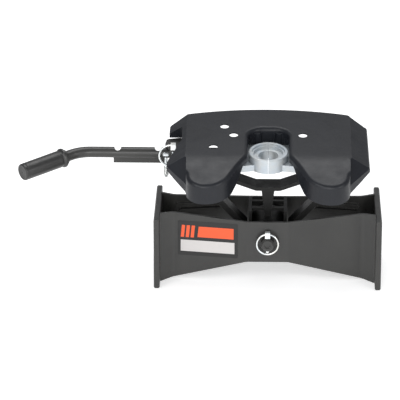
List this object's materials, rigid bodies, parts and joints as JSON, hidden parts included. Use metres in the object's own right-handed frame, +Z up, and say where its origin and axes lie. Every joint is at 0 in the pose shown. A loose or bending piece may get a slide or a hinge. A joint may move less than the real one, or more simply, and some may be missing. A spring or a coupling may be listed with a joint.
{
  "type": "fifth wheel hitch",
  "caption": "Fifth wheel trailer hitch: a bow-tie crossmember, a yoke that rolls on a centre pin, and a pitching head with a throat, locking jaws and a pull handle.",
  "frame": {"origin": "centre of the crossmember's footprint, level with the bottom of its two side plates", "axes": "+X to the right seen from the trailer, +Y towards the truck's cab, +Z up"},
  "size_m": [0.9272, 0.3555, 0.3836],
  "materials": {
    "black_coat": "satin black powder coat",
    "head_coat": "satin black powder coat on a casting",
    "yoke_coat": "satin black powder coat on a casting",
    "zinc": "clear zinc plate on forged steel",
    "bright_zinc": "bright zinc plate",
    "oiled_steel": "oiled steel",
    "grip_rubber": "moulded black rubber",
    "bushing_rubber": "moulded black rubber",
    "label": "printed vinyl"
  },
  "bodies": {
    "crossmember": {"rear_cross_plate": "black_coat", "front_cross_plate": "black_coat", "left_side_plate": "black_coat", "right_side_plate": "black_coat", "rear_pivot_sleeve": "black_coat", "front_pivot_sleeve": "black_coat", "roll_pivot_pin": "black_coat", "data_label": "label"},
    "pivot_lock": {"pivot_linch_pin": "bright_zinc"},
    "pivot_lock_ring": {"pivot_linch_ring": "bright_zinc"},
    "yoke": {"yoke_casting": "yoke_coat", "yoke_bearing": "oiled_steel", "left_trunnion_pin": "oiled_steel", "right_trunnion_pin": "oiled_steel"},
    "head": {"head_casting": "head_coat", "left_torsion_bushing": "bushing_rubber", "right_torsion_bushing": "bushing_rubber", "jaw_keeper_plate": "black_coat", "jaw_pivot_nuts": "oiled_steel", "left_jaw_pivot_pin": "oiled_steel", "right_jaw_pivot_pin": "oiled_steel", "handle_bracket": "black_coat", "latch_bolt": "bright_zinc", "latch_spring": "bright_zinc", "latch_nut": "bright_zinc"},
    "handle": {"handle_tube": "black_coat", "handle_fin": "black_coat", "handle_grip": "grip_rubber", "grip_collar": "grip_rubber", "cam_bar": "zinc", "cam_bar_bolt": "oiled_steel"},
    "left_jaw": {"left_jaw": "zinc", "left_cam_pin": "oiled_steel"},
    "right_jaw": {"right_jaw": "zinc", "right_cam_pin": "oiled_steel"},
    "handle_lock": {"handle_lock_pin": "bright_zinc"},
    "handle_lock_ring": {"handle_lock_ring": "bright_zinc"}
  },
  "joints": [
    {"name": "yoke_roll", "type": "hinge", "parent": "crossmember", "child": "yoke", "pos_m": [0, 0, 0.118], "axis": [0, 1, 0], "range_deg": [-6, 6], "stiffness_Nm_per_rad": 1800},
    {"name": "head_pitch", "type": "hinge", "parent": "yoke", "child": "head", "pos_m": [0, 0, 0.28], "axis": [1, 0, 0], "range_deg": [-20, 4], "stiffness_Nm_per_rad": 900},
    {"name": "handle_pull", "type": "slide", "parent": "head", "child": "handle", "axis": [-1, 0, 0], "range_m": [0, 0.1]},
    {"name": "right_jaw_swing", "type": "hinge", "parent": "head", "child": "right_jaw", "pos_m": [0.03, 0.08087, 0.30756], "axis": [0, -0.1444, 0.9895], "range_deg": [0, 28.01]},
    {"name": "left_jaw_swing", "type": "hinge", "parent": "head", "child": "left_jaw", "pos_m": [-0.03, 0.08087, 0.30756], "axis": [0, 0.1444, -0.9895], "range_deg": [0, 28.01]},
    {"name": "pivot_lock_lift", "type": "slide", "parent": "crossmember", "child": "pivot_lock", "axis": [0, 0, 1], "range_m": [0, 0.006]},
    {"name": "pivot_ring_swing", "type": "hinge", "parent": "pivot_lock", "child": "pivot_lock_ring", "pos_m": [0, -0.106, 0.1441], "axis": [-1, 0, 0], "range_deg": [0, 150]},
    {"name": "handle_lock_lift", "type": "slide", "parent": "head", "child": "handle_lock", "axis": [0, -0.1444, 0.9895], "range_m": [0, 0.03]},
    {"name": "handle_ring_swing", "type": "hinge", "parent": "handle_lock", "child": "handle_lock_ring", "pos_m": [-0.244, 0.03199, 0.33085], "axis": [-0.9432, -0.0479, 0.3286], "range_deg": [0, 20]}
  ],
  "couplings": [
    {"joint": "right_jaw_swing", "follows": "handle_pull", "rad_per_m": 4.8869},
    {"joint": "left_jaw_swing", "follows": "handle_pull", "rad_per_m": 4.8869}
  ]
}
